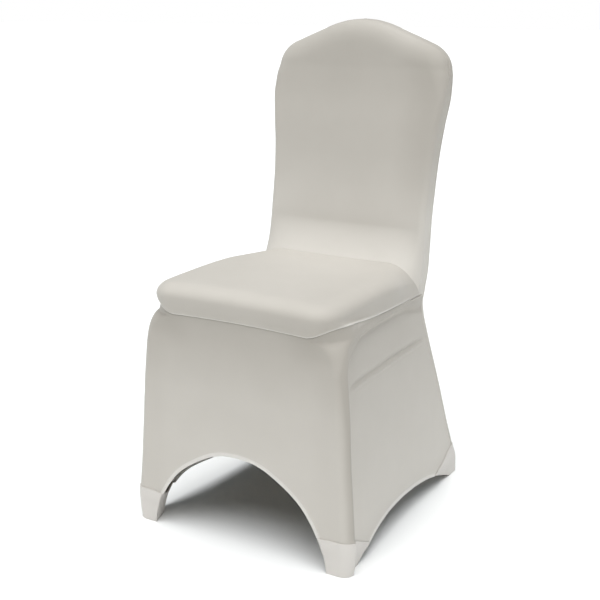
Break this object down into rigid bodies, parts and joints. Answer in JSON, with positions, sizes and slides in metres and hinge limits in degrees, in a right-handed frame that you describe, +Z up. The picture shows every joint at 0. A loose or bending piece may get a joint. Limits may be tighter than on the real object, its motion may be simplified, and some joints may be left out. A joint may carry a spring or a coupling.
{
  "type": "fitted stretch chair cover",
  "caption": "Stretch knit cover shaped over a crown-back banquet chair, with arched skirt hems and foot pockets.",
  "frame": {"origin": "on the floor, at the middle of the cover's footprint", "axes": "+Z up, -Y towards the front of the seat, +X towards the sitter's left"},
  "size_m": [0.4856, 0.549, 0.96],
  "materials": {
    "seat_panel_cloth": "satin stretch knit",
    "inside_back_cloth": "satin stretch knit",
    "outside_back_cloth": "satin stretch knit",
    "skirt_front_cloth": "satin stretch knit",
    "skirt_side_left_cloth": "satin stretch knit",
    "skirt_side_right_cloth": "satin stretch knit",
    "foot_pocket_front_left_cloth": "doubled stretch knit",
    "foot_pocket_front_right_cloth": "doubled stretch knit",
    "foot_pocket_back_left_cloth": "doubled stretch knit",
    "foot_pocket_back_right_cloth": "doubled stretch knit"
  },
  "bodies": {
    "root": {"seat_panel": "seat_panel_cloth", "inside_back": "inside_back_cloth", "outside_back": "outside_back_cloth", "skirt_front": "skirt_front_cloth", "skirt_side_left": "skirt_side_left_cloth", "skirt_side_right": "skirt_side_right_cloth", "foot_pocket_front_left": "foot_pocket_front_left_cloth", "foot_pocket_front_right": "foot_pocket_front_right_cloth", "foot_pocket_back_left": "foot_pocket_back_left_cloth", "foot_pocket_back_right": "foot_pocket_back_right_cloth"}
  },
  "joints": []
}
